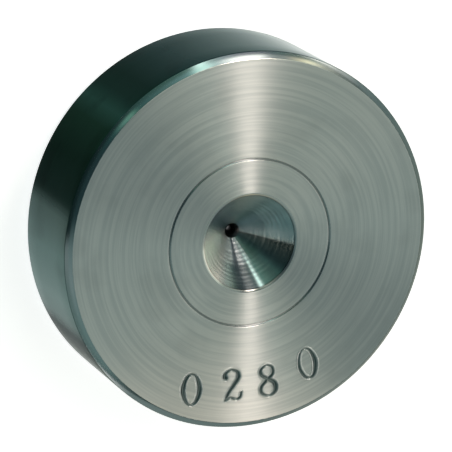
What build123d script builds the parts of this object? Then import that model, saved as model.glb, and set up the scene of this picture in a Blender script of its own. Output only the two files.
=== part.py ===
from build123d import *

import math
import os

# Wire drawing die for fine round wire, in millimetres.
# The die lies on its back: z = 0 is the back face, where the drawn wire leaves, and the
# entry face is at z = CASE_HEIGHT. Every piece is turned round the Z axis.

# Steel casing, the common 25 mm by 8 mm size that fits a drawing machine's die holder
CASE_DIAMETER = 25.0
CASE_HEIGHT = 8.0
FRONT_CHAMFER = 0.42
BACK_CHAMFER = 0.60
CHAMFER_SOFTENING = 0.12
EXIT_THROAT_DIAMETER = 1.8
EXIT_HALF_ANGLE = 40.0
EXIT_RIM_ROUND = 0.25

# Pocket bored into the casing from the front, for the nib, its bed and the plug
POCKET_DIAMETER = 11.08
POCKET_DEPTH = 4.6
JOINT_BREAK = 0.1

# Plug pressed into the pocket, with the wide cone that leads the wire in
MOUTH_DIAMETER = 6.36
MOUTH_ROUND = 0.28
WINDOW_DIAMETER = 1.0

# Diamond nib, a round blank with the drawing hole through it
NIB_DIAMETER = 3.2
NIB_THICKNESS = 1.5
WIRE_DIAMETER = 0.28
BEARING_LENGTH = 0.14
BELL_HALF_ANGLE = 38.0
APPROACH_MOUTH_DIAMETER = 0.64
APPROACH_HALF_ANGLE = 17.5
REDUCTION_MOUTH_DIAMETER = 0.40
REDUCTION_HALF_ANGLE = 7.0
RELIEF_MOUTH_DIAMETER = 0.34
RELIEF_HALF_ANGLE = 15.0
NIB_EXIT_HALF_ANGLE = 45.0
ZONE_BLEND = 0.3

POCKET_FLOOR = CASE_HEIGHT - POCKET_DEPTH
NIB_TOP = POCKET_FLOOR + NIB_THICKNESS


def cone_length(wide_diameter, narrow_diameter, half_angle):
    """Height of a cone between two diameters, from its half-angle in degrees."""
    return (wide_diameter - narrow_diameter) / 2 / math.tan(math.radians(half_angle))


def cone_spread(length, half_angle):
    """How much wider a cone gets, in diameter, over a length along its axis."""
    return 2 * length * math.tan(math.radians(half_angle))


def turned(section):
    """Revolve a closed section round Z. Each corner is (diameter, height, corner radius)."""
    corners = [(diameter / 2, height) for diameter, height, _ in section]
    radii = [radius for _, _, radius in section]
    with BuildPart() as body:
        with BuildSketch(Plane.XZ):
            with BuildLine():
                FilletPolyline(*corners, radius=radii, close=True)
            make_face()
        revolve(axis=Axis.Z)
    return body.part


def casing():
    """Steel puck: chamfered rim, blind pocket for the insert, exit cone through the floor."""
    exit_mouth = EXIT_THROAT_DIAMETER + cone_spread(POCKET_FLOOR, EXIT_HALF_ANGLE)
    return turned(
        [
            (exit_mouth, 0, EXIT_RIM_ROUND),
            (CASE_DIAMETER - 2 * BACK_CHAMFER, 0, CHAMFER_SOFTENING),
            (CASE_DIAMETER, BACK_CHAMFER, CHAMFER_SOFTENING),
            (CASE_DIAMETER, CASE_HEIGHT - FRONT_CHAMFER, CHAMFER_SOFTENING),
            (CASE_DIAMETER - 2 * FRONT_CHAMFER, CASE_HEIGHT, CHAMFER_SOFTENING),
            (POCKET_DIAMETER + 2 * JOINT_BREAK, CASE_HEIGHT, 0),
            (POCKET_DIAMETER, CASE_HEIGHT - JOINT_BREAK, 0),
            (POCKET_DIAMETER, POCKET_FLOOR, 0),
            (EXIT_THROAT_DIAMETER, POCKET_FLOOR, 0),
        ]
    )


def entry_plug():
    """Steel plug, flush with the entry face, whose cone narrows to the window over the nib."""
    return turned(
        [
            (WINDOW_DIAMETER, NIB_TOP, 0),
            (POCKET_DIAMETER, NIB_TOP, 0),
            (POCKET_DIAMETER, CASE_HEIGHT - JOINT_BREAK, 0),
            (POCKET_DIAMETER - 2 * JOINT_BREAK, CASE_HEIGHT, 0),
            (MOUTH_DIAMETER, CASE_HEIGHT, MOUTH_ROUND),
        ]
    )


def drawing_hole():
    """Corners of the wall of the hole through the nib, from its bell down to its exit.

    The wire passes a bell, an approach cone, the reduction cone that draws it down and a
    short cylindrical bearing that gives its size. A relief and an exit cone let it out
    clear of any edge, and each corner between two zones is blended.
    """
    bell_foot = NIB_TOP - cone_length(WINDOW_DIAMETER, APPROACH_MOUTH_DIAMETER, BELL_HALF_ANGLE)
    approach = cone_length(APPROACH_MOUTH_DIAMETER, REDUCTION_MOUTH_DIAMETER, APPROACH_HALF_ANGLE)
    reduction = cone_length(REDUCTION_MOUTH_DIAMETER, WIRE_DIAMETER, REDUCTION_HALF_ANGLE)
    relief = cone_length(RELIEF_MOUTH_DIAMETER, WIRE_DIAMETER, RELIEF_HALF_ANGLE)
    approach_foot = bell_foot - approach
    bearing_top = approach_foot - reduction
    bearing_foot = bearing_top - BEARING_LENGTH
    exit_top = bearing_foot - relief
    exit_mouth = RELIEF_MOUTH_DIAMETER + cone_spread(exit_top - POCKET_FLOOR, NIB_EXIT_HALF_ANGLE)
    return [
        (WINDOW_DIAMETER, NIB_TOP, 0),
        (APPROACH_MOUTH_DIAMETER, bell_foot, ZONE_BLEND),
        (REDUCTION_MOUTH_DIAMETER, approach_foot, ZONE_BLEND),
        (WIRE_DIAMETER, bearing_top, ZONE_BLEND),
        (WIRE_DIAMETER, bearing_foot, ZONE_BLEND / 2),
        (RELIEF_MOUTH_DIAMETER, exit_top, ZONE_BLEND / 2),
        (exit_mouth, POCKET_FLOOR, 0),
    ]


def nib():
    """Diamond blank, seated on the pocket floor and pierced by the drawing hole."""
    outside = [(NIB_DIAMETER, POCKET_FLOOR, 0), (NIB_DIAMETER, NIB_TOP, 0)]
    return turned(drawing_hole() + outside)


def nib_bed():
    """Ring of sintered metal that grips the nib round its edge and fills the pocket beside it."""
    return turned(
        [
            (NIB_DIAMETER, POCKET_FLOOR, 0),
            (POCKET_DIAMETER, POCKET_FLOOR, 0),
            (POCKET_DIAMETER, NIB_TOP, 0),
            (NIB_DIAMETER, NIB_TOP, 0),
        ]
    )


os.makedirs("parts", exist_ok=True)
for make_piece in (casing, entry_plug, nib, nib_bed):
    export_step(make_piece(), f"parts/{make_piece.__name__}.step")
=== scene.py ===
import logging
import math
from dataclasses import dataclass, field
from enum import Enum

import bmesh
import bpy
import numpy as np
from mathutils import Matrix, Vector


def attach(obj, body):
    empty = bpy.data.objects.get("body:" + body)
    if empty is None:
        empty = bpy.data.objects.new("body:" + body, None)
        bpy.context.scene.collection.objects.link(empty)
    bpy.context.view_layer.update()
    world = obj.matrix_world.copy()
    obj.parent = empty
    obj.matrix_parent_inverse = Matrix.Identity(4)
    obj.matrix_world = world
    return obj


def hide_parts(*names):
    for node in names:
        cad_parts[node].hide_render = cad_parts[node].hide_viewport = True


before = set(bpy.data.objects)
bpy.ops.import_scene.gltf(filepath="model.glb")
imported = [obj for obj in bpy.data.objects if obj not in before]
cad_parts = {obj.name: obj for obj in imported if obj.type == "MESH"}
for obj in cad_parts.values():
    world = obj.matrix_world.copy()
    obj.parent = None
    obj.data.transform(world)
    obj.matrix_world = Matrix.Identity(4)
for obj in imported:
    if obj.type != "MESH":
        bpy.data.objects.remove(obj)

MM = 0.001
SPIN_STEPS = 288
SHARP_ANGLE = math.radians(20.0)
WELD_DISTANCE = 1e-7
RING_DISTANCE = 2e-6
QUARTER_TURN = 0.25
SHORTEST_SQUARED = 1e-12
STAMP_LAYER = "stamp"

Colour = tuple[float, float, float]
Point = tuple[float, float, float]
Spot = tuple[float, float]
Span = tuple[float, float]
Stops = tuple[tuple[float, Colour], ...]
Socket = bpy.types.NodeSocket
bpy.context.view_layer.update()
LOG = logging.getLogger("die")


class Across(Enum):
    """How far a surface's turned lines follow the radius and the height, one after the other."""

    FACE = (1.0, 0.0)
    WALL = (0.0, 1.0)
    CONE = (0.67, 0.74)


class Nodes:
    """A small builder of shader node trees."""

    def __init__(self, tree: bpy.types.NodeTree) -> None:
        """Take over a tree and empty it.

        Args:
            tree: The node tree of a material, a world or a group.
        """
        self.tree = tree
        self.tree.nodes.clear()

    def fill(self, socket: Socket, value: object) -> None:
        """Link a socket to another one, or give it a value.

        Args:
            socket: The socket that takes the value.
            value: A plain value, or the socket that gives it.
        """
        if isinstance(value, Socket):
            self.tree.links.new(value, socket)
        else:
            socket.default_value = value

    def add(self, kind: str, inputs: dict | None = None, **settings: object) -> bpy.types.Node:
        """Add a node.

        Args:
            kind: The node's type name, without ShaderNode in front.
            inputs: Socket name or index to a value or to the socket that feeds it.
            **settings: Attributes of the node.

        Returns:
            The new node.
        """
        node = self.tree.nodes.new(kind if kind.startswith("NodeGroup") else f"ShaderNode{kind}")
        for name, value in settings.items():
            setattr(node, name, value)
        for key, value in (inputs or {}).items():
            self.fill(node.inputs[key], value)
        return node

    def math(self, operation: str, *values: object, clamp: bool = False) -> Socket:
        """Add a Math node and return its result."""
        node = self.add("Math", dict(enumerate(values)), operation=operation, use_clamp=clamp)
        return node.outputs[0]

    def span(self, value: object, low: float, high: float, ends: Span = (0.0, 1.0)) -> Socket:
        """Map a value smoothly from one range to another and return the result."""
        inputs = {0: value, 1: low, 2: high, 3: ends[0], 4: ends[1]}
        return self.add("MapRange", inputs, interpolation_type="SMOOTHSTEP").outputs[0]

    def vector(self, operation: str, *values: object) -> Socket:
        """Add a Vector Math node and return its vector."""
        return self.add("VectorMath", dict(enumerate(values)), operation=operation).outputs[0]

    def noise(self, vector: Socket, scale: object, detail: float, rough: float = 0.5) -> Socket:
        """Add a Noise Texture and return its value."""
        inputs = {"Vector": vector, "Scale": scale, "Detail": detail, "Roughness": rough}
        return self.add("TexNoise", inputs).outputs["Fac"]

    def length(self, vector: Socket) -> Socket:
        """Return a vector's length."""
        return self.add("VectorMath", {0: vector}, operation="LENGTH").outputs["Value"]

    def azimuth(self, vector: Socket) -> Socket:
        """Measure a vector's angle round the Z axis.

        Args:
            vector: The socket that gives the vector.

        Returns:
            The angle from +X, as a share of a turn.
        """
        xyz = self.add("SeparateXYZ", {0: vector}).outputs
        angle = self.math("ARCTAN2", xyz[1], xyz[0])
        return self.math("FRACT", self.math("DIVIDE", angle, math.tau))

    def mix(self, factor: object, first: object, second: object, blend: str = "MIX") -> Socket:
        """Mix two colours.

        Args:
            factor: Share of the second colour.
            first: The first colour.
            second: The second colour.
            blend: Blend mode.

        Returns:
            The mixed colour's socket.
        """
        node = self.add("Mix", data_type="RGBA", blend_type=blend)
        for index, value in ((0, factor), (6, first), (7, second)):
            self.fill(node.inputs[index], (*value, 1.0) if isinstance(value, tuple) else value)
        return node.outputs[2]

    def ramp(self, factor: object, stops: Stops) -> Socket:
        """Add a colour ramp.

        Args:
            factor: The value that is looked up.
            stops: Place from 0 to 1 and colour of each stop, in order.

        Returns:
            The ramp's colour socket.
        """
        node = self.add("ValToRGB", {0: factor})
        band = node.color_ramp
        while len(band.elements) < len(stops):
            band.elements.new(1.0)
        for element, (place, colour) in zip(band.elements, stops):
            element.position = place
            element.color = (*colour, 1.0)
        return node.outputs[0]

    def surface(self, colour: Socket, rough: Socket, bump: bpy.types.Node) -> bpy.types.Node:
        """Add the shader of a solid surface and lead it to the material's output.

        Args:
            colour: The base colour.
            rough: The roughness.
            bump: The node that gives the normal.

        Returns:
            The shader node.
        """
        inputs = {"Base Color": colour, "Roughness": rough, "Normal": bump.outputs[0]}
        shader = self.add("BsdfPrincipled", inputs)
        self.add("OutputMaterial", {"Surface": shader.outputs[0]})
        return shader


def new_material(name: str) -> tuple[bpy.types.Material, Nodes]:
    """Make a material.

    Args:
        name: The material's name.

    Returns:
        The material and a builder of its nodes.
    """
    material = bpy.data.materials.new(name)
    material.use_nodes = True
    return material, Nodes(material.node_tree)


class ShaderGroup:
    """A node group that is built once and placed in many materials."""

    name = "group"
    takes: tuple[tuple[str, float], ...] = ()
    gives: tuple[str, ...] = ()

    @classmethod
    def tree(cls) -> bpy.types.NodeTree:
        """Build the group's tree at its first use.

        Returns:
            The tree, new or already there.
        """
        if cls.name in bpy.data.node_groups:
            return bpy.data.node_groups[cls.name]
        tree = bpy.data.node_groups.new(cls.name, "ShaderNodeTree")
        for socket, value in cls.takes:
            made = tree.interface.new_socket(name=socket, in_out="INPUT", socket_type="NodeSocketFloat")
            made.default_value = value
        for socket in cls.gives:
            tree.interface.new_socket(name=socket, in_out="OUTPUT", socket_type="NodeSocketFloat")
        nodes = Nodes(tree)
        given = nodes.add("NodeGroupInput").outputs
        nodes.add("NodeGroupOutput", cls.inside(nodes, given))
        return tree

    @classmethod
    def inside(cls, nodes: Nodes, given: bpy.types.NodeOutputs) -> dict[str, Socket]:
        """Build the group's nodes; each kind of group has its own."""
        raise NotImplementedError

    @classmethod
    def place(cls, nodes: Nodes, **inputs: object) -> bpy.types.NodeOutputs:
        """Place the group in a material.

        Args:
            nodes: The material's nodes.
            **inputs: The group's inputs by name, in small letters with underscores.

        Returns:
            The group's outputs.
        """
        node = nodes.tree.nodes.new("ShaderNodeGroup")
        node.node_tree = cls.tree()
        for key, value in inputs.items():
            nodes.fill(node.inputs[key.replace("_", " ").capitalize()], value)
        return node.outputs


class TurnedLines(ShaderGroup):
    """Fine lines that a lathe tool leaves round the axis, uneven along each line."""

    name = "Turned lines"
    takes = (("Along radius", 1.0), ("Along height", 0.0), ("Pitch", 0.1))
    gives = ("Lines", "Patches")
    detail = 3.0
    line_grain = 0.6
    patch_scale = 260.0

    @classmethod
    def inside(cls, nodes: Nodes, given: bpy.types.NodeOutputs) -> dict[str, Socket]:
        """Lay noise along the radius and the height, with a slow change round the axis.

        Args:
            nodes: The group's nodes.
            given: The group's inputs.

        Returns:
            What feeds each of the group's outputs.
        """
        place = nodes.add("TexCoord").outputs["Object"]
        xyz = nodes.add("SeparateXYZ", {0: place}).outputs
        flat = nodes.add("CombineXYZ", {0: xyz[0], 1: xyz[1]}).outputs[0]
        out = nodes.math("MULTIPLY", nodes.length(flat), given["Along radius"])
        length = nodes.math("MULTIPLY_ADD", xyz[2], given["Along height"], out)
        scaled = nodes.math("DIVIDE", nodes.math("DIVIDE", length, MM), given["Pitch"])
        turn = nodes.add("SeparateXYZ", {0: nodes.vector("NORMALIZE", flat)}).outputs
        spot = nodes.add("CombineXYZ", {0: scaled, 1: turn[0], 2: turn[1]}).outputs[0]
        lines = nodes.noise(spot, 1.0, cls.detail, cls.line_grain)
        return {"Lines": lines, "Patches": nodes.noise(place, cls.patch_scale, cls.detail)}


class Handling(ShaderGroup):
    """Soft smudges and a few faint scratches from being picked up and put down."""

    name = "Handling"
    takes = (("Smudge size", 3.0), ("Seed", 0.0))
    gives = ("Smudges", "Scratches")
    smudge_detail = 4.0
    smudged = (0.5, 0.72)
    scratch_angle = 0.9
    scratch_stretch = (0.12, 2.4, 0.5)
    scratch_detail = 2.0
    scratch_width = 0.006
    scratched = (0.55, 0.7)

    @classmethod
    def inside(cls, nodes: Nodes, given: bpy.types.NodeOutputs) -> dict[str, Socket]:
        """Lay a broad noise for smudges, and thin lines of a stretched one for scratches.

        Args:
            nodes: The group's nodes.
            given: The group's inputs.

        Returns:
            What feeds each of the group's outputs.
        """
        place = nodes.add("TexCoord").outputs["Object"]
        shift = nodes.add("CombineXYZ", {axis: given["Seed"] for axis in range(3)}).outputs[0]
        per_mm = nodes.add("VectorMath", {0: place, "Scale": 1.0 / MM}, operation="SCALE").outputs[0]
        moved = nodes.vector("ADD", per_mm, shift)
        scale = nodes.math("DIVIDE", 1.0, given["Smudge size"])
        broad = nodes.noise(moved, scale, cls.smudge_detail)
        inputs = {"Vector": moved, "Angle": cls.scratch_angle}
        turned = nodes.add("VectorRotate", inputs, rotation_type="Z_AXIS").outputs[0]
        stretched = nodes.vector("MULTIPLY", turned, cls.scratch_stretch)
        thin = nodes.noise(stretched, 1.0, cls.scratch_detail)
        edge = nodes.math("ABSOLUTE", nodes.math("SUBTRACT", thin, 0.5))
        scratches = nodes.span(edge, 0.0, cls.scratch_width, (1.0, 0.0))
        scratches = nodes.math("MULTIPLY", scratches, nodes.span(broad, *cls.scratched))
        return {"Smudges": nodes.span(broad, *cls.smudged), "Scratches": scratches}


@dataclass(frozen=True)
class MetalFinish:
    """A metal surface as a tool leaves it, with its colour, gloss and lines.

    Lengths are in millimetres. The painted reflection tones and the painted reflection metal
    change round the axis, by share of a turn, and are painted reflections: colour and metal share
    that stand for the dark and light shop that polished steel mirrors. The outer painted
    reflection tones take over from the inner ones across the outer span of the radius.
    """

    name: str
    colour: Colour
    lines_colour: Colour
    roughness: float
    across: Across
    pitch: float
    edge_tint: Colour = (1.0, 1.0, 1.0)
    stretch: float = 0.0
    line_height: float = 0.0
    line_roughness: float = 0.0
    line_span: Span = (0.35, 0.65)
    patch_roughness: float = 0.06
    smudge_size: float = 3.2
    smudge_share: float = 0.0
    smudge_shade: float = 0.55
    scratch_depth: float = 0.3
    stamped: bool = False
    stamp_span: Span = (0.05, 0.6)
    stamp_colour: Colour = (0.16, 0.2, 0.2)
    stamp_gloss: float = 0.05
    painted_reflection_tones: Stops = ()
    painted_outer_reflection_tones: Stops = ()
    outer_span: Span = (1.5, 2.1)
    painted_reflection_metal: tuple[Span, ...] = ()
    painted_dark_ior: float = 1.01

    def tones(self, nodes: Nodes) -> Socket:
        """Look up the painted reflection tone for the place round the axis.

        Args:
            nodes: The material's nodes.

        Returns:
            The painted reflection tone, set further out by the outer tones where the finish has them.
        """
        place = nodes.add("TexCoord").outputs["Object"]
        turn = nodes.azimuth(place)
        tones = nodes.ramp(turn, self.painted_reflection_tones)
        if self.painted_outer_reflection_tones:
            flat = nodes.vector("MULTIPLY", place, (1.0, 1.0, 0.0))
            outer = nodes.span(nodes.length(flat), *(radius * MM for radius in self.outer_span))
            tones = nodes.mix(outer, tones, nodes.ramp(turn, self.painted_outer_reflection_tones))
        return tones

    def material(self) -> bpy.types.Material:
        """Build the material at its first use.

        Returns:
            The material, new or already there.
        """
        if self.name in bpy.data.materials:
            return bpy.data.materials[self.name]
        material, nodes = new_material(self.name)
        along_radius, along_height = self.across.value
        lines, patches = TurnedLines.place(
            nodes, along_radius=along_radius, along_height=along_height, pitch=self.pitch
        )
        smudges, scratches = Handling.place(nodes, smudge_size=self.smudge_size, seed=self.pitch)
        colour = nodes.mix(nodes.span(lines, *self.line_span), self.colour, self.lines_colour)
        # Painted reflection: tones by place round the axis are added to the base colour and stand for
        # the light and dark shop that the steel mirrors.
        if self.painted_reflection_tones:
            colour = nodes.mix(1.0, colour, self.tones(nodes), "ADD")
        dull = nodes.math("MULTIPLY", smudges, self.smudge_share)
        colour = nodes.mix(dull, colour, tuple(self.smudge_shade * part for part in self.colour))
        rough = self.roughness
        for uneven, share in ((lines, self.line_roughness), (patches, self.patch_roughness)):
            rough = nodes.math("MULTIPLY_ADD", nodes.math("SUBTRACT", uneven, 0.5), share, rough)
        height = nodes.math("MULTIPLY_ADD", scratches, -self.scratch_depth, lines)
        if self.stamped:
            dip = nodes.add("Attribute", attribute_name=STAMP_LAYER).outputs["Fac"]
            colour = nodes.mix(nodes.span(dip, *self.stamp_span), colour, self.stamp_colour)
            rough = nodes.math("MULTIPLY_ADD", dip, -self.stamp_gloss, rough)
        bump = nodes.add("Bump", {"Height": height, "Strength": 1.0, "Distance": self.line_height * MM})
        shader = nodes.surface(colour, rough, bump)
        shader.inputs["Metallic"].default_value = 1.0
        # Painted reflection: the metal share changes round the axis, and the share left over, with an
        # IOR near 1, mirrors almost nothing, so the steel is painted dark where it stands for a dark
        # shop.
        if self.painted_reflection_metal:
            stops = tuple((place, (share, share, share)) for place, share in self.painted_reflection_metal)
            turn = nodes.azimuth(nodes.add("TexCoord").outputs["Object"])
            nodes.fill(shader.inputs["Metallic"], nodes.ramp(turn, stops))
            shader.inputs["IOR"].default_value = self.painted_dark_ior
        shader.inputs["Specular Tint"].default_value = (*self.edge_tint, 1.0)
        if self.stretch:
            shader.inputs["Anisotropic"].default_value = self.stretch
            shader.inputs["Anisotropic Rotation"].default_value = QUARTER_TURN
            tangent = nodes.add("Tangent", direction_type="RADIAL", axis="Z")
            nodes.fill(shader.inputs["Tangent"], tangent.outputs[0])
        return material


FACE = MetalFinish(
    name="Turned steel face",
    colour=(0.49, 0.52, 0.52),
    lines_colour=(0.595, 0.615, 0.605),
    roughness=0.4,
    across=Across.FACE,
    pitch=0.22,
    stretch=1.0,
    line_height=0.0015,
    line_roughness=0.05,
    smudge_share=0.16,
    stamped=True,
)
# Painted reflection: the near-black colour, the tones and the metal share round the axis paint the dark
# and light shop that the rim mirrors, in place of the pale floor below it.
RIM = MetalFinish(
    name="Ground steel rim",
    colour=(0.0015, 0.004, 0.0035),
    lines_colour=(0.002, 0.006, 0.005),
    edge_tint=(0.74, 0.84, 0.83),
    roughness=0.14,
    across=Across.WALL,
    pitch=0.3,
    line_roughness=0.04,
    line_height=0.0003,
    smudge_share=0.3,
    painted_reflection_tones=(
        (0.0, (0.03, 0.05, 0.045)), (0.06, (0.002, 0.004, 0.004)), (0.24, (0.004, 0.024, 0.028)),
        (0.3, (0.004, 0.025, 0.028)), (0.34, (0.008, 0.028, 0.024)), (0.357, (0.01, 0.036, 0.03)),
        (0.371, (0.026, 0.086, 0.072)), (0.387, (0.01, 0.04, 0.026)), (0.42, (0.006, 0.023, 0.016)),
        (0.452, (0.008, 0.025, 0.021)), (0.474, (0.03, 0.05, 0.045)), (0.5, (0.05, 0.085, 0.08)),
        (0.56, (0.05, 0.085, 0.08)), (0.578, (0.1, 0.11, 0.115)), (0.592, (0.13, 0.14, 0.135)),
        (0.607, (0.2, 0.23, 0.2)), (0.64, (0.22, 0.25, 0.22)), (0.68, (0.06, 0.08, 0.075)),
        (0.72, (0.002, 0.005, 0.005)), (0.8, (0.04, 0.06, 0.055)), (0.87, (0.006, 0.01, 0.01)),
        (1.0, (0.03, 0.05, 0.045)),
    ),
    painted_reflection_metal=(
        (0.0, 1.0), (0.18, 1.0), (0.22, 0.77), (0.25, 0.58), (0.28, 0.4), (0.31, 0.2), (0.34, 0.06),
        (0.38, 0.06), (0.42, 0.03), (0.456, 0.07), (0.468, 0.7), (0.5, 0.9), (0.54, 0.9),
        (0.56, 0.62), (0.575, 0.14), (0.59, 0.11), (0.605, 0.1), (0.64, 0.1), (0.665, 0.3),
        (0.72, 0.35), (0.8, 0.8), (0.88, 0.35), (1.0, 1.0),
    ),
)
CHAMFER = MetalFinish(
    name="Polished steel chamfer",
    colour=(0.42, 0.44, 0.44),
    lines_colour=(0.46, 0.48, 0.48),
    roughness=0.2,
    across=Across.CONE,
    pitch=0.12,
    line_height=0.0003,
)
# Painted reflection: the near-black colour with tones round the axis paints the chamfer's glints and
# dark stretches, the highlights and shade of the shop it mirrors.
EDGE = MetalFinish(
    name="Polished steel edge",
    colour=(0.02, 0.025, 0.025),
    lines_colour=(0.03, 0.035, 0.035),
    roughness=0.13,
    across=Across.CONE,
    pitch=0.12,
    line_height=0.0003,
    edge_tint=(0.6, 0.62, 0.6),
    painted_reflection_tones=(
        (0.0, (0.06, 0.08, 0.07)), (0.12, (0.05, 0.08, 0.08)), (0.145, (0.08, 0.11, 0.11)),
        (0.167, (0.3, 0.32, 0.31)), (0.19, (0.95, 0.95, 0.9)), (0.27, (0.95, 0.95, 0.93)),
        (0.31, (0.5, 0.52, 0.51)), (0.35, (0.65, 0.67, 0.66)), (0.38, (0.5, 0.52, 0.51)),
        (0.6, (0.5, 0.52, 0.52)), (0.635, (0.08, 0.11, 0.11)), (0.75, (0.07, 0.1, 0.1)),
        (0.85, (0.08, 0.1, 0.09)), (1.0, (0.06, 0.08, 0.07)),
    ),
)
# Painted reflection: the near-black colour with tones round the axis, set further out by the outer
# tones, paints the cone's light and dark sectors, the shop that the polished cone mirrors.
CONE = MetalFinish(
    name="Polished steel cone",
    colour=(0.02, 0.02, 0.02),
    lines_colour=(0.06, 0.06, 0.06),
    roughness=0.24,
    across=Across.CONE,
    pitch=0.17,
    stretch=1.0,
    line_roughness=0.05,
    line_height=0.0008,
    painted_reflection_tones=(
        (0.0, (0.18, 0.27, 0.29)), (0.05, (0.22, 0.31, 0.34)), (0.083, (0.35, 0.46, 0.48)),
        (0.14, (0.29, 0.38, 0.41)), (0.18, (0.31, 0.4, 0.43)), (0.22, (0.52, 0.63, 0.64)),
        (0.28, (0.5, 0.6, 0.61)), (0.31, (0.48, 0.56, 0.6)), (0.36, (0.46, 0.52, 0.58)),
        (0.39, (0.32, 0.4, 0.43)), (0.415, (0.31, 0.36, 0.41)), (0.445, (0.58, 0.56, 0.58)),
        (0.48, (0.9, 0.81, 0.79)), (0.62, (0.94, 0.83, 0.82)), (0.67, (0.94, 0.88, 0.86)),
        (0.69, (0.95, 0.9, 0.88)), (0.7, (0.9, 0.88, 0.88)), (0.71, (0.4, 0.42, 0.46)),
        (0.726, (0.16, 0.18, 0.22)), (0.737, (0.5, 0.55, 0.58)), (0.765, (0.74, 0.8, 0.83)),
        (0.793, (0.95, 0.98, 0.96)), (0.809, (0.95, 0.98, 0.96)), (0.816, (0.3, 0.42, 0.38)),
        (0.83, (0.24, 0.38, 0.34)), (0.86, (0.13, 0.23, 0.2)), (0.94, (0.08, 0.13, 0.13)),
        (0.971, (0.04, 0.07, 0.07)), (0.981, (0.22, 0.3, 0.31)), (1.0, (0.18, 0.27, 0.29)),
    ),
    painted_outer_reflection_tones=(
        (0.0, (0.27, 0.38, 0.4)), (0.05, (0.36, 0.47, 0.5)), (0.083, (0.53, 0.65, 0.67)),
        (0.14, (0.45, 0.57, 0.59)), (0.18, (0.44, 0.55, 0.57)), (0.22, (0.62, 0.72, 0.73)),
        (0.28, (0.56, 0.65, 0.63)), (0.31, (0.42, 0.5, 0.5)), (0.36, (0.38, 0.45, 0.46)),
        (0.39, (0.28, 0.36, 0.38)), (0.415, (0.28, 0.35, 0.37)), (0.445, (0.52, 0.54, 0.52)),
        (0.48, (0.78, 0.72, 0.66)), (0.52, (0.94, 0.88, 0.79)), (0.62, (0.96, 0.88, 0.84)),
        (0.64, (0.8, 0.76, 0.74)), (0.67, (0.6, 0.66, 0.63)), (0.686, (0.4, 0.48, 0.46)),
        (0.697, (0.2, 0.27, 0.28)), (0.712, (0.13, 0.17, 0.19)), (0.73, (0.11, 0.15, 0.17)),
        (0.745, (0.16, 0.19, 0.2)), (0.78, (0.2, 0.25, 0.25)), (0.788, (0.86, 0.88, 0.87)),
        (0.801, (0.86, 0.88, 0.87)), (0.81, (0.4, 0.56, 0.52)), (0.86, (0.24, 0.37, 0.36)),
        (0.9, (0.12, 0.19, 0.19)), (0.94, (0.1, 0.15, 0.15)), (0.971, (0.04, 0.07, 0.07)),
        (0.981, (0.29, 0.38, 0.39)), (1.0, (0.27, 0.38, 0.4)),
    ),
)
# Painted reflection: the near-black colour with tones round the axis paints the light and dark of the
# shop that the rounded mouth mirrors.
MOUTH = MetalFinish(
    name="Polished steel mouth",
    colour=(0.02, 0.02, 0.02),
    lines_colour=(0.03, 0.03, 0.03),
    roughness=0.14,
    across=Across.CONE,
    pitch=0.12,
    painted_reflection_tones=(
        (0.0, (0.3, 0.33, 0.34)), (0.12, (0.34, 0.38, 0.38)), (0.22, (0.4, 0.42, 0.4)),
        (0.25, (0.5, 0.5, 0.45)), (0.29, (0.36, 0.38, 0.36)), (0.38, (0.24, 0.28, 0.28)),
        (0.45, (0.28, 0.32, 0.31)), (0.49, (0.42, 0.43, 0.4)), (0.52, (0.8, 0.78, 0.72)),
        (0.63, (0.84, 0.83, 0.78)), (0.655, (0.44, 0.47, 0.45)), (0.715, (0.3, 0.33, 0.33)),
        (0.728, (0.12, 0.14, 0.14)), (0.742, (0.26, 0.27, 0.26)), (0.764, (0.26, 0.27, 0.26)),
        (0.78, (0.14, 0.17, 0.16)), (0.8, (0.26, 0.3, 0.29)), (0.9, (0.24, 0.27, 0.27)),
        (1.0, (0.3, 0.33, 0.34)),
    ),
)
BORE = MetalFinish(
    name="Bored steel",
    colour=(0.33, 0.35, 0.34),
    lines_colour=(0.42, 0.44, 0.43),
    roughness=0.38,
    across=Across.CONE,
    pitch=0.2,
    line_roughness=0.1,
    line_height=0.003,
)
BACK = MetalFinish(
    name="Turned steel back",
    colour=(0.36, 0.38, 0.37),
    lines_colour=(0.44, 0.455, 0.44),
    roughness=0.4,
    across=Across.FACE,
    pitch=0.26,
    stretch=0.9,
    line_height=0.002,
    line_roughness=0.06,
    smudge_share=0.2,
)


@dataclass(frozen=True)
class DiamondFinish:
    """The nib's dark grey synthetic diamond, polished in the hole."""

    name: str = "Dark diamond"
    colour: Colour = (0.003, 0.004, 0.004)
    fleck_colour: Colour = (0.008, 0.009, 0.009)
    roughness: float = 0.1
    grain_scale: float = 22000.0
    grain_height: float = 0.0004
    cloud_scale: float = 2500.0
    cloud_detail: float = 3.0
    cloud_roughness: float = 0.12
    flecked: Span = (0.1, 0.6)
    ior: float = 1.8

    def material(self) -> bpy.types.Material:
        """Build the material.

        Returns:
            The new material.
        """
        material, nodes = new_material(self.name)
        place = nodes.add("TexCoord").outputs["Object"]
        grain = nodes.add("TexVoronoi", {"Vector": place, "Scale": self.grain_scale}).outputs["Distance"]
        cloud = nodes.noise(place, self.cloud_scale, self.cloud_detail)
        colour = nodes.mix(nodes.span(grain, *self.flecked), self.fleck_colour, self.colour)
        rough = nodes.math("MULTIPLY_ADD", cloud, self.cloud_roughness, self.roughness)
        bump = nodes.add("Bump", {"Height": grain, "Distance": self.grain_height * MM})
        shader = nodes.surface(colour, rough, bump)
        shader.inputs["IOR"].default_value = self.ior
        return material


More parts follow.
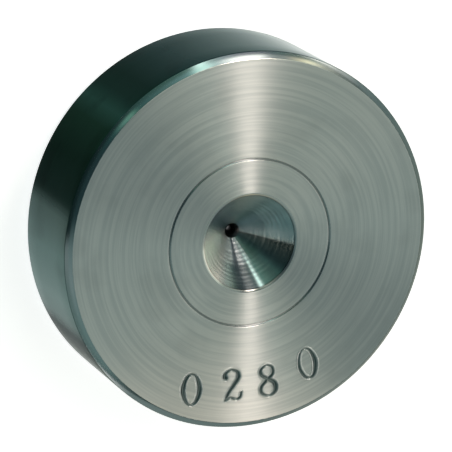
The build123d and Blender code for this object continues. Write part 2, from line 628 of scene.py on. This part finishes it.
@dataclass(frozen=True)
class SinteredFinish:
    """The pressed metal powder that grips the nib, with its grains and small pores."""

    name: str = "Sintered bronze"
    colour: Colour = (0.36, 0.27, 0.17)
    worn_colour: Colour = (0.3, 0.24, 0.17)
    pore_colour: Colour = (0.1, 0.07, 0.045)
    roughness: float = 0.52
    grain_scale: float = 9000.0
    grain_height: float = 0.01
    pores: Span = (0.45, 0.75)
    cloud_scale: float = 1400.0
    cloud_detail: float = 4.0
    cloud_roughness: float = 0.2
    worn: Span = (0.4, 0.7)

    def material(self) -> bpy.types.Material:
        """Build the material.

        Returns:
            The new material.
        """
        material, nodes = new_material(self.name)
        place = nodes.add("TexCoord").outputs["Object"]
        grain = nodes.add("TexVoronoi", {"Vector": place, "Scale": self.grain_scale}).outputs["Distance"]
        cloud = nodes.noise(place, self.cloud_scale, self.cloud_detail)
        colour = nodes.mix(nodes.span(grain, *self.pores), self.colour, self.pore_colour)
        colour = nodes.mix(nodes.span(cloud, *self.worn), colour, self.worn_colour)
        rough = nodes.math("MULTIPLY_ADD", cloud, self.cloud_roughness, self.roughness)
        inputs = {"Height": grain, "Distance": self.grain_height * MM}
        shader = nodes.surface(colour, rough, nodes.add("Bump", inputs, invert=True))
        shader.inputs["Metallic"].default_value = 1.0
        return material


Finish = MetalFinish | DiamondFinish
DIAMOND = DiamondFinish()
SINTERED = SinteredFinish()


@dataclass(frozen=True)
class Corner:
    """A corner of a turned section, in millimetres, with the finish of its next side and its edge."""

    radius: float
    height: float
    rounding: float = 0.0
    rows: int = 1
    finish: Finish | None = None
    edge: MetalFinish | None = None


@dataclass
class TurnedPiece:
    """A piece that is turned round the Z axis from one closed section."""

    name: str
    replaces: str
    slot: str
    corners: list[Corner]
    arc_steps: int = 5

    def outline(self) -> bmesh.types.BMesh:
        """Lay the section's corners and edges in the plane y = 0, with its rows.

        Returns:
            A bmesh that holds the closed outline.
        """
        mesh = bmesh.new()
        verts = [mesh.verts.new((c.radius * MM, 0.0, c.height * MM)) for c in self.corners]
        for corner, vert, end in zip(self.corners, verts, verts[1:] + verts[:1]):
            edge = mesh.edges.new((vert, end))
            for left in range(corner.rows, 1, -1):
                vert = bmesh.utils.edge_split(edge, vert, 1.0 / left)[1]
                edge = next(run for run in vert.link_edges if end in run.verts)
        return mesh

    def spin(self, mesh: bmesh.types.BMesh) -> None:
        """Turn the outline into a closed skin that points outwards.

        Args:
            mesh: The outline, which becomes the skin.
        """
        bmesh.ops.spin(
            mesh,
            geom=mesh.verts[:] + mesh.edges[:],
            cent=(0.0, 0.0, 0.0),
            axis=(0.0, 0.0, 1.0),
            dvec=(0.0, 0.0, 0.0),
            angle=math.tau,
            steps=SPIN_STEPS,
            use_merge=True,
            use_duplicate=False,
        )
        bmesh.ops.remove_doubles(mesh, verts=mesh.verts[:], dist=WELD_DISTANCE)
        bmesh.ops.recalc_face_normals(mesh, faces=mesh.faces[:])

    def paint(self, mesh: bmesh.types.BMesh, finishes: list[Finish]) -> None:
        """Give each face the finish of the section's edge that it comes from.

        Args:
            mesh: The turned skin.
            finishes: The piece's finishes, in the order of its material slots.
        """
        starts = np.array([(corner.radius, corner.height) for corner in self.corners])
        runs = np.roll(starts, -1, axis=0) - starts
        squared = (runs**2).sum(axis=1)
        slots = [finishes.index(corner.finish) for corner in self.corners]
        for face in mesh.faces:
            radius = sum(vert.co.to_2d().length for vert in face.verts) / len(face.verts) / MM
            height = sum(vert.co.z for vert in face.verts) / len(face.verts) / MM
            away = np.array((radius, height)) - starts
            share = np.clip((away * runs).sum(axis=1) / squared, 0.0, 1.0)
            miss = ((away - share[:, None] * runs) ** 2).sum(axis=1)
            face.material_index = slots[int(miss.argmin())]

    def round_corners(self, mesh: bmesh.types.BMesh, finishes: list[Finish]) -> None:
        """Round each ring of edges whose corner has a rounding.

        Args:
            mesh: The turned skin.
            finishes: The piece's finishes, in the order of its material slots.
        """
        count = len(self.corners)
        for index, corner in enumerate(self.corners):
            if corner.rounding <= 0.0:
                continue
            before, after = self.corners[index - 1], self.corners[(index + 1) % count]
            come = Vector((corner.radius - before.radius, corner.height - before.height))
            leave = Vector((after.radius - corner.radius, after.height - corner.height))
            offset = corner.rounding * math.tan(come.angle(leave) / 2) * MM
            spot = Vector((corner.radius * MM, corner.height * MM))
            ring = [edge for edge in mesh.edges if all(self.at(vert, spot) for vert in edge.verts)]
            bmesh.ops.bevel(
                mesh,
                geom=ring,
                offset=offset,
                offset_type="OFFSET",
                segments=self.arc_steps,
                profile=0.5,
                affect="EDGES",
                material=finishes.index(corner.edge) if corner.edge else -1,
            )

    @staticmethod
    def at(vert: bmesh.types.BMVert, spot: Vector) -> bool:
        """Tell whether a vertex is on the ring of that radius and height."""
        return (Vector((vert.co.to_2d().length, vert.co.z)) - spot).length < RING_DISTANCE

    def work(self, mesh: bmesh.types.BMesh) -> None:
        """Add what a plain turned piece hasn't got; a piece with more has its own."""

    def build(self) -> bpy.types.Object:
        """Build the piece, dress it and put it in place of its node.

        Returns:
            The finished object.
        """
        both = (finish for corner in self.corners for finish in (corner.finish, corner.edge))
        finishes = list(dict.fromkeys(finish for finish in both if finish))
        mesh = self.outline()
        self.spin(mesh)
        self.paint(mesh, finishes)
        self.round_corners(mesh, finishes)
        for face in mesh.faces:
            face.smooth = True
        for edge in mesh.edges:
            edge.smooth = edge.calc_face_angle(0.0) < SHARP_ANGLE
        self.work(mesh)
        data = bpy.data.meshes.new(self.name)
        mesh.to_mesh(data)
        mesh.free()
        for finish in finishes:
            data.materials.append(finish.material())
        piece = bpy.data.objects.new(self.name, data)
        bpy.context.scene.collection.objects.link(piece)
        self.even_shading(piece)
        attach(piece, "root")
        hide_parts(self.replaces)
        LOG.info("%s: %d faces", self.name, len(piece.data.polygons))
        return piece

    @staticmethod
    def even_shading(piece: bpy.types.Object) -> None:
        """Let the large faces set the shading beside narrow ones, and keep it in the mesh.

        Args:
            piece: The object that gets a new mesh.
        """
        modifier = piece.modifiers.new("Even shading", "WEIGHTED_NORMAL")
        modifier.keep_sharp = True
        shaded = piece.evaluated_get(bpy.context.evaluated_depsgraph_get())
        data = bpy.data.meshes.new_from_object(shaded)
        piece.modifiers.remove(modifier)
        plain, piece.data = piece.data, data
        bpy.data.meshes.remove(plain)
        data.name = piece.name


@dataclass(frozen=True)
class Stroke:
    """One stroke of a stamped digit: points with x, y and half-width in millimetres."""

    points: tuple[Point, ...]
    closed: bool = False
    steps: int = 8

    def samples(self) -> np.ndarray:
        """Sample the stroke's smooth line.

        Returns:
            Rows of x, y and half-width, close together along the line.
        """
        knots = np.array(self.points)
        if self.closed:
            knots = np.vstack((knots[-1:], knots, knots[:2]))
        else:
            knots = np.vstack((2 * knots[0] - knots[1], knots, 2 * knots[-1] - knots[-2]))
        share = np.linspace(0.0, 1.0, self.steps + 1)[:, None]
        rows = []
        for a, b, c, d in zip(knots, knots[1:], knots[2:], knots[3:]):
            bend = (2 * a - 5 * b + 4 * c - d) * share**2 + (3 * b - a - 3 * c + d) * share**3
            rows.append(0.5 * (2 * b + (c - a) * share + bend))
        return np.vstack(rows)


ZERO = (
    Stroke(
        (
            (0.0, 1.04, 0.09), (0.36, 0.78, 0.12), (0.57, 0.0, 0.16), (0.38, -0.76, 0.12),
            (0.0, -1.04, 0.09), (-0.38, -0.76, 0.13), (-0.58, 0.0, 0.17), (-0.38, 0.78, 0.13),
        ),
        closed=True,
    ),
)
TWO = (
    Stroke(
        (
            (-0.44, 0.56, 0.17), (-0.4, 0.86, 0.1), (0.02, 1.04, 0.09), (0.42, 0.84, 0.13),
            (0.46, 0.46, 0.16), (0.12, 0.0, 0.14), (-0.3, -0.5, 0.11), (-0.52, -0.98, 0.09),
        )
    ),
    Stroke(
        (
            (-0.5, -0.94, 0.11), (-0.16, -0.86, 0.13), (0.24, -1.0, 0.13), (0.5, -0.9, 0.1),
            (0.6, -0.6, 0.08),
        )
    ),
)
EIGHT = (
    Stroke(
        (
            (-0.02, 0.06, 0.15), (0.38, 0.38, 0.1), (0.38, 0.82, 0.1), (0.0, 1.04, 0.09),
            (-0.4, 0.82, 0.13), (-0.38, 0.42, 0.16), (0.02, 0.08, 0.17), (0.46, -0.3, 0.16),
            (0.46, -0.8, 0.13), (0.0, -1.06, 0.09), (-0.48, -0.8, 0.12), (-0.48, -0.36, 0.12),
        ),
        closed=True,
    ),
)


@dataclass(frozen=True)
class StampedDigit:
    """A digit struck into the face with a hand punch, seldom quite straight or even."""

    strokes: tuple[Stroke, ...]
    centre: Spot
    turn: float
    lean: Span = (0.0, 0.0)
    weight: float = 1.0
    press_limits: Span = (0.15, 1.3)

    def segments(self) -> np.ndarray:
        """Cut the strokes into short runs in the die's frame.

        Returns:
            Rows of start and end, each with x, y and half-width.
        """
        angle = math.radians(self.turn)
        turning = np.array(((math.cos(angle), -math.sin(angle)), (math.sin(angle), math.cos(angle))))
        rows = []
        for stroke in self.strokes:
            line = stroke.samples()
            press = self.weight * (1.0 + line[:, 0] * self.lean[0] + line[:, 1] * self.lean[1])
            width = line[:, 2] * np.clip(press, *self.press_limits)
            spots = line[:, :2] @ turning.T + np.array(self.centre)
            full = np.column_stack((spots, width))
            rows.append(np.hstack((full[:-1], full[1:])))
        return np.vstack(rows)


@dataclass
class Casing(TurnedPiece):
    """The steel casing, with the number that is struck into its entry face."""

    digits: list[StampedDigit] = field(default_factory=list)
    stroke_depth: float = 0.8
    wall_slope: float = 1.25
    lip_width: float = 0.11
    lip_height: float = 0.014
    fine_cuts: int = 10
    near: float = 0.42
    batch: int = 4000

    def work(self, mesh: bmesh.types.BMesh) -> None:
        """Divide the face finely round the digits and press their strokes into it.

        Args:
            mesh: The turned skin.
        """
        layer = mesh.verts.layers.float.new(STAMP_LAYER)
        runs = np.vstack([digit.segments() for digit in self.digits])
        flat = [face for face in mesh.faces if all(self.on_top(vert) for vert in face.verts)]
        centres = np.array([face.calc_center_median().to_2d() for face in flat]) / MM
        chosen = [face for face, miss in zip(flat, self.misses(centres, runs)[0]) if miss < self.near]
        bmesh.ops.subdivide_edges(
            mesh,
            edges=list(dict.fromkeys(edge for face in chosen for edge in face.edges)),
            cuts=self.fine_cuts,
            use_grid_fill=True,
        )
        level = [vert for vert in mesh.verts if self.on_top(vert)]
        half = self.lip_width / 2
        for start in range(0, len(level), self.batch):
            batch = level[start : start + self.batch]
            spots = np.array([vert.co.to_2d() for vert in batch]) / MM
            miss, width = self.misses(spots, runs)
            inside = np.clip(-miss / width, 0.0, 1.0)
            depth = self.stroke_depth * width * np.minimum(1.0, self.wall_slope * inside)
            past = np.clip(1.0 - np.abs(miss - half) / half, 0.0, 1.0)
            lip = self.lip_height * past**2 * (3.0 - 2.0 * past)
            for vert, down, up, share in zip(batch, depth, lip, inside):
                vert.co.z += (up - down) * MM
                vert[layer] = float(share)

    def on_top(self, vert: bmesh.types.BMVert) -> bool:
        """Tell whether a vertex is on the entry face."""
        return abs(vert.co.z - max(corner.height for corner in self.corners) * MM) < WELD_DISTANCE

    @staticmethod
    def misses(spots: np.ndarray, runs: np.ndarray) -> tuple[np.ndarray, np.ndarray]:
        """Measure how far points are outside the strokes.

        Args:
            spots: Rows of x and y.
            runs: Rows of start and end with their half-widths.

        Returns:
            Distance beyond the nearest stroke's edge, negative inside, and its half-width there.
        """
        start, end = runs[:, :2], runs[:, 3:5]
        way = end - start
        squared = np.maximum((way**2).sum(axis=1), SHORTEST_SQUARED)
        away = spots[:, None, :] - start[None]
        share = np.clip((away * way[None]).sum(axis=2) / squared, 0.0, 1.0)
        distance = np.sqrt(((away - share[..., None] * way[None]) ** 2).sum(axis=2))
        width = runs[:, 2] + share * (runs[:, 5] - runs[:, 2])
        miss = distance - width
        best = miss.argmin(axis=1)
        rows = np.arange(len(spots))
        return miss[rows, best], width[rows, best]


@dataclass
class Plug(TurnedPiece):
    """The pressed-in plug, whose entry cone keeps fine ribs from its turning."""

    rib_height: float = 0.005
    rib_pitch: float = 0.33
    low_rib_pitch: float = 0.53
    low_rib_share: float = 0.6
    low_rib_shift: float = 1.0
    fade: float = 0.2
    seat_margin: float = 0.001

    def work(self, mesh: bmesh.types.BMesh) -> None:
        """Move the cone's rows in and out by a few micrometres, which gives it fine ribs.

        Args:
            mesh: The turned skin.
        """
        window, mouth = self.corners[0], self.corners[-1]
        slope = math.atan2(mouth.height - window.height, mouth.radius - window.radius)
        rim = mouth.radius - self.fade
        for vert in mesh.verts:
            radius, height = vert.co.to_2d().length / MM, vert.co.z / MM
            if not window.radius < radius < rim or height < window.height + self.seat_margin:
                continue
            slant = math.tau * radius / math.cos(slope)
            low_rib = math.sin(slant / self.low_rib_pitch + self.low_rib_shift)
            wave = math.sin(slant / self.rib_pitch) + self.low_rib_share * low_rib
            share = min(1.0, (radius - window.radius) / self.fade, (rim - radius) / self.fade)
            inward = vert.co.to_2d().normalized() * -math.sin(slope)
            move = self.rib_height * wave * share * MM
            vert.co += Vector((inward.x, inward.y, math.cos(slope))) * move


@dataclass
class NibBed:
    """The sintered ring round the nib, whose CAD shape is kept."""

    node: str = "nib_bed"

    def dress(self) -> None:
        """Give the kept node its finish."""
        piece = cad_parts[self.node]
        material = SINTERED.material()
        for index in range(len(piece.data.materials)):
            piece.data.materials[index] = material
        LOG.info("%s: dressed", self.node)


@dataclass(frozen=True)
class DrawingHole:
    """The hole through the nib: the radius and the height at which each zone of its wall ends."""

    bell: Spot = (0.32, 4.67)
    approach: Spot = (0.2, 4.289)
    reduction: Spot = (0.14, 3.8)
    bearing: Spot = (0.14, 3.66)
    relief: Spot = (0.17, 3.548)
    exit_radius: float = 0.318
    blend: float = 0.3
    low_blend: float = 0.15

    def corners(self) -> list[Corner]:
        """Give the corners between the zones, from the bell down.

        Returns:
            The corners, in the order of the section.
        """
        upper, lower = (self.bell, self.approach, self.reduction), (self.bearing, self.relief)
        ends = [Corner(*end, rounding=self.blend, finish=DIAMOND) for end in upper]
        return ends + [Corner(*end, rounding=self.low_blend, finish=DIAMOND) for end in lower]


@dataclass
class WireDie:
    """The whole die: casing, plug, nib and nib bed. Sizes are radii and heights in millimetres."""

    outer: float = 12.5
    top: float = 8.0
    front_chamfer: float = 0.42
    back_chamfer: float = 0.6
    chamfer_softening: float = 0.12
    exit_mouth: float = 3.753
    exit_rounding: float = 0.25
    exit_throat: float = 0.9
    pocket: float = 5.54
    pocket_floor: float = 3.4
    joint_break: float = 0.09
    edge_rounding: float = 0.08
    mouth: float = 3.18
    mouth_rounding: float = 0.28
    window: float = 0.5
    nib_radius: float = 1.6
    nib_top: float = 4.9
    hole: DrawingHole = DrawingHole()

    def casing(self) -> Casing:
        """Describe the casing with its stamped number.

        Returns:
            The casing, ready to be built.
        """
        soft, edge = self.chamfer_softening, self.edge_rounding
        face_edge, front_edge = self.outer - self.front_chamfer, self.top - self.front_chamfer
        corners = [
            Corner(self.exit_mouth, 0.0, rounding=self.exit_rounding, finish=BACK),
            Corner(self.outer - self.back_chamfer, 0.0, rounding=soft, finish=CHAMFER),
            Corner(self.outer, self.back_chamfer, rounding=soft, rows=4, finish=RIM),
            Corner(self.outer, front_edge, rounding=soft, finish=EDGE, edge=RIM),
            Corner(face_edge, self.top, rounding=edge, rows=24, finish=FACE),
            Corner(self.pocket + self.joint_break, self.top, rounding=edge, finish=CHAMFER),
            Corner(self.pocket, self.top - self.joint_break, finish=BORE),
            Corner(self.pocket, self.pocket_floor, finish=BORE),
            Corner(self.exit_throat, self.pocket_floor, rows=3, finish=BORE),
        ]
        digits = [
            StampedDigit(ZERO, (-4.03, -9.41), -2.0, lean=(0.05, -0.06)),
            StampedDigit(TWO, (-1.21, -9.44), 4.0, lean=(-0.25, 0.1)),
            StampedDigit(EIGHT, (1.28, -9.41), 6.0, lean=(0.25, -0.15), weight=0.92),
            StampedDigit(ZERO, (4.06, -8.58), 12.0, lean=(0.5, -0.3), weight=0.8),
        ]
        return Casing("steel_casing", "casing", "casing_steel", corners, digits=digits)

    def plug(self) -> Plug:
        """Describe the plug with its entry cone.

        Returns:
            The plug, ready to be built.
        """
        face_edge, edge = self.pocket - self.joint_break, self.edge_rounding
        corners = [
            Corner(self.window, self.nib_top, rows=2, finish=BORE),
            Corner(self.pocket, self.nib_top, finish=BORE),
            Corner(self.pocket, self.top - self.joint_break, finish=CHAMFER),
            Corner(face_edge, self.top, rounding=edge, rows=10, finish=FACE),
            Corner(self.mouth, self.top, rounding=self.mouth_rounding, rows=72, finish=CONE, edge=MOUTH),
        ]
        return Plug("entry_cone_plug", "entry_plug", "plug_steel", corners)

    def nib(self) -> TurnedPiece:
        """Describe the nib with its drawing hole.

        Returns:
            The nib, ready to be built.
        """
        corners = [
            Corner(self.window, self.nib_top, finish=DIAMOND),
            *self.hole.corners(),
            Corner(self.hole.exit_radius, self.pocket_floor, finish=DIAMOND),
            Corner(self.nib_radius, self.pocket_floor, finish=DIAMOND),
            Corner(self.nib_radius, self.nib_top, finish=DIAMOND),
        ]
        return TurnedPiece("diamond_nib", "nib", "diamond", corners)

    def build(self) -> None:
        """Build every piece and dress the kept node."""
        for piece in (self.casing(), self.plug(), self.nib()):
            piece.build()
        NibBed().dress()


@dataclass
class Lamp:
    """A small warm lamp that stands close to the die and lights the lower edge of its face."""

    name: str = "near lamp"
    place: Point = (0.005, -0.0195, 0.021)
    aim: Point = (-0.0008, -0.0145, 0.008)
    width: float = 0.04
    length: float = 0.004
    spread: float = 50.0
    radiance: float = 0.19
    colour: Colour = (1.0, 0.74, 0.56)

    def light(self) -> None:
        """Stand the lamp at its place and turn it to what it lights."""
        data = bpy.data.lights.new(self.name, "AREA")
        data.shape = "RECTANGLE"
        data.size = self.width
        data.size_y = self.length
        data.spread = math.radians(self.spread)
        data.color = self.colour
        data.energy = self.radiance * math.pi * self.width * self.length
        lamp = bpy.data.objects.new(self.name, data)
        out = (Vector(self.place) - Vector(self.aim)).normalized()
        side = Vector((0.0, 1.0, 0.0)).cross(out).normalized()
        turn = Matrix((side, out.cross(side), out)).transposed().to_4x4()
        lamp.matrix_world = Matrix.Translation(self.place) @ turn
        bpy.context.scene.collection.objects.link(lamp)


@dataclass
class Studio:
    """The pale floor, the surroundings that light the die and that its steel mirrors, and the camera."""

    floor_size: float = 40.0
    floor_gap: float = 0.00002
    floor_tone: float = 0.85
    floor_glow: float = 0.73
    lens: float = 286.06
    sensor: float = 36.0
    near_clip: float = 0.01
    eye: Point = (-0.084932, 0.064439, 0.211730)
    right: Point = (0.92619, 0.00463, 0.37702)
    up: Point = (0.09984, 0.96122, -0.25707)
    back: Point = (-0.3636, 0.27573, 0.88981)
    entry_height: float = 0.008
    zenith: Colour = (0.47, 0.55, 0.505)
    dark_spot: Point = (-0.2936, 0.2212, 0.93)
    dark: Colour = (0.1, 0.14, 0.15)
    low_to_middle: Span = (0.68, 0.693)
    middle_to_low: Span = (0.721, 0.734)
    low_to_high: Span = (0.785, 0.82)
    high_to_band: Span = (0.84, 0.87)
    high_to_zenith: Span = (0.91, 0.985)
    spot_edge: Span = (0.981, 0.994)
    lamp: Lamp = field(default_factory=Lamp)
    high_ring: Stops = (
        (0, (1.1, 1.12, 1.04)), (40, (0.8, 0.8, 0.7)), (55, (0.5, 0.56, 0.5)),
        (75, (0.6, 0.65, 0.56)), (84, (0.8, 0.8, 0.7)), (90, (1.15, 1.12, 0.98)),
        (97, (1.1, 1.1, 0.95)), (108, (0.88, 0.88, 0.76)), (129, (0.7, 0.72, 0.61)),
        (134, (0.24, 0.31, 0.31)), (150, (0.19, 0.26, 0.28)), (160, (0.23, 0.33, 0.33)),
        (190, (0.2, 0.3, 0.29)), (215, (0.35, 0.42, 0.39)), (240, (0.5, 0.52, 0.45)),
        (262, (0.7, 0.67, 0.55)), (285, (0.6, 0.57, 0.47)), (305, (0.52, 0.56, 0.56)),
        (335, (0.66, 0.71, 0.7)), (360, (1.1, 1.12, 1.04)),
    )
    band: Stops = (
        (84, (0.0, 0.0, 0.0)), (87, (10.0, 8.5, 7.7)), (94, (10.0, 8.5, 7.7)),
        (97, (0.0, 0.0, 0.0)),
    )
    middle_ring: Stops = (
        (0, (0.1, 0.13, 0.13)), (46, (0.2, 0.25, 0.24)), (58, (0.5, 0.56, 0.52)),
        (66, (0.5, 0.52, 0.45)), (71, (1.0, 0.98, 0.72)), (74, (0.55, 0.53, 0.4)),
        (78, (0.24, 0.27, 0.26)), (84, (0.22, 0.27, 0.27)), (86, (1.2, 1.24, 1.2)),
        (92, (1.5, 1.54, 1.5)), (98, (0.9, 0.98, 0.94)), (101, (0.36, 0.5, 0.5)),
        (104, (0.8, 1.2, 1.1)), (107, (0.8, 1.25, 1.1)), (109, (0.22, 0.42, 0.42)),
        (119, (0.09, 0.19, 0.18)), (129, (0.03, 0.09, 0.09)), (131, (0.2, 0.46, 0.34)),
        (134, (0.18, 0.4, 0.33)), (139, (0.03, 0.09, 0.09)), (148, (0.025, 0.055, 0.06)),
        (167, (0.025, 0.055, 0.06)), (177, (0.17, 0.26, 0.26)), (187, (0.26, 0.35, 0.35)),
        (200, (0.19, 0.3, 0.29)), (222, (0.17, 0.27, 0.26)), (229, (0.28, 0.37, 0.36)),
        (262, (0.6, 0.6, 0.5)), (300, (1.5, 1.5, 1.35)), (335, (1.2, 1.2, 1.05)),
        (360, (0.1, 0.13, 0.13)),
    )
    low_ring: Stops = (
        (0, (1.0, 1.0, 0.86)), (12, (1.7, 1.7, 1.5)), (44, (1.7, 1.7, 1.5)), (56, (0.6, 0.65, 0.6)),
        (70, (0.12, 0.18, 0.16)), (75, (0.05, 0.09, 0.08)), (81, (0.06, 0.11, 0.11)),
        (86, (0.1, 0.12, 0.14)), (92, (0.14, 0.15, 0.18)), (99, (0.2, 0.26, 0.28)),
        (103, (0.3, 0.42, 0.4)), (104.8, (1.15, 1.6, 1.48)), (106.6, (1.15, 1.6, 1.48)),
        (108.5, (0.1, 0.21, 0.175)), (120, (0.05, 0.12, 0.1)), (126, (0.034, 0.083, 0.075)),
        (140, (0.015, 0.035, 0.035)), (150, (0.008, 0.022, 0.022)), (172, (0.008, 0.022, 0.022)),
        (176, (0.2, 0.265, 0.265)), (180, (0.22, 0.28, 0.28)), (190, (0.15, 0.23, 0.22)),
        (208, (0.14, 0.225, 0.215)), (225, (0.1, 0.17, 0.16)), (260, (0.3, 0.36, 0.33)),
        (360, (1.0, 1.0, 0.86)),
    )

    def floor(self) -> None:
        """Lay a pale floor that is white to the camera and in the steel, and keeps the shadow."""
        mesh = bmesh.new()
        bmesh.ops.create_grid(mesh, x_segments=1, y_segments=1, size=self.floor_size / 2)
        data = bpy.data.meshes.new("floor")
        mesh.to_mesh(data)
        mesh.free()
        material, nodes = new_material("Pale floor")
        path = nodes.add("LightPath").outputs
        seen = nodes.math("ADD", path["Is Camera Ray"], path["Is Glossy Ray"], clamp=True)
        seen = nodes.math("ADD", seen, path["Is Transmission Ray"], clamp=True)
        tone = self.floor_tone
        inputs = {
            "Base Color": (tone, tone, tone, 1.0),
            "Roughness": 1.0,
            "Emission Color": (1.0, 1.0, 1.0, 1.0),
            "Emission Strength": nodes.math("MULTIPLY", seen, self.floor_glow),
        }
        shader = nodes.add("BsdfPrincipled", inputs)
        shader.inputs["Specular IOR Level"].default_value = 0.0
        nodes.add("OutputMaterial", {"Surface": shader.outputs[0]})
        data.materials.append(material)
        plane = bpy.data.objects.new("floor", data)
        data.transform(Matrix.Translation((0.0, 0.0, -self.floor_gap)))
        bpy.context.scene.collection.objects.link(plane)

    def world(self) -> None:
        """Paint the surroundings by direction, as three rings of light and dark and a zenith.

        The rings are told apart by the half-way vector between a direction and one fixed
        direction, towards the eye, so that each ring is what one slope of the turned steel
        mirrors there.
        """
        world = bpy.data.worlds.new("Studio")
        bpy.context.scene.world = world
        world.use_nodes = True
        nodes = Nodes(world.node_tree)
        towards = nodes.add("TexCoord").outputs["Generated"]
        eye = Vector(self.eye) - Vector((0.0, 0.0, self.entry_height))
        half = nodes.vector("NORMALIZE", nodes.vector("ADD", towards, eye.normalized()))
        steep = nodes.add("SeparateXYZ", {0: half}).outputs[2]
        turn = nodes.azimuth(half)
        low, middle, high, band = (
            nodes.ramp(turn, tuple((degrees / 360.0, colour) for degrees, colour in ring))
            for ring in (self.low_ring, self.middle_ring, self.high_ring, self.band)
        )
        colour = nodes.mix(nodes.span(steep, *self.low_to_middle), low, middle)
        colour = nodes.mix(nodes.span(steep, *self.middle_to_low), colour, low)
        colour = nodes.mix(nodes.span(steep, *self.low_to_high), colour, high)
        colour = nodes.mix(nodes.span(steep, *self.high_to_band), colour, band, "ADD")
        colour = nodes.mix(nodes.span(steep, *self.high_to_zenith), colour, self.zenith)
        near = nodes.add("VectorMath", {0: half, 1: self.dark_spot}, operation="DOT_PRODUCT")
        colour = nodes.mix(nodes.span(near.outputs["Value"], *self.spot_edge), colour, self.dark)
        shade = nodes.add("Background", {"Color": colour, "Strength": 1.0})
        nodes.add("OutputWorld", {"Surface": shade.outputs[0]})

    def camera(self) -> None:
        """Set the camera at the photograph's place, turn and lens."""
        data = bpy.data.cameras.new("camera")
        data.lens = self.lens
        data.sensor_width = self.sensor
        data.clip_start = self.near_clip
        camera = bpy.data.objects.new("camera", data)
        turn = Matrix((self.right, self.up, self.back)).transposed().to_4x4()
        camera.matrix_world = Matrix.Translation(self.eye) @ turn
        bpy.context.scene.collection.objects.link(camera)
        bpy.context.scene.camera = camera

    def build(self) -> None:
        """Set up the floor, the surroundings and the camera."""
        self.floor()
        self.world()
        self.lamp.light()
        self.camera()
        bpy.context.scene.view_settings.view_transform = "Standard"
        LOG.info("studio: set up")


def main() -> None:
    """Build the die and its studio."""
    logging.basicConfig(level=logging.INFO, format="%(name)s: %(message)s")
    WireDie().build()
    Studio().build()


if __name__ == "__main__":
    main()
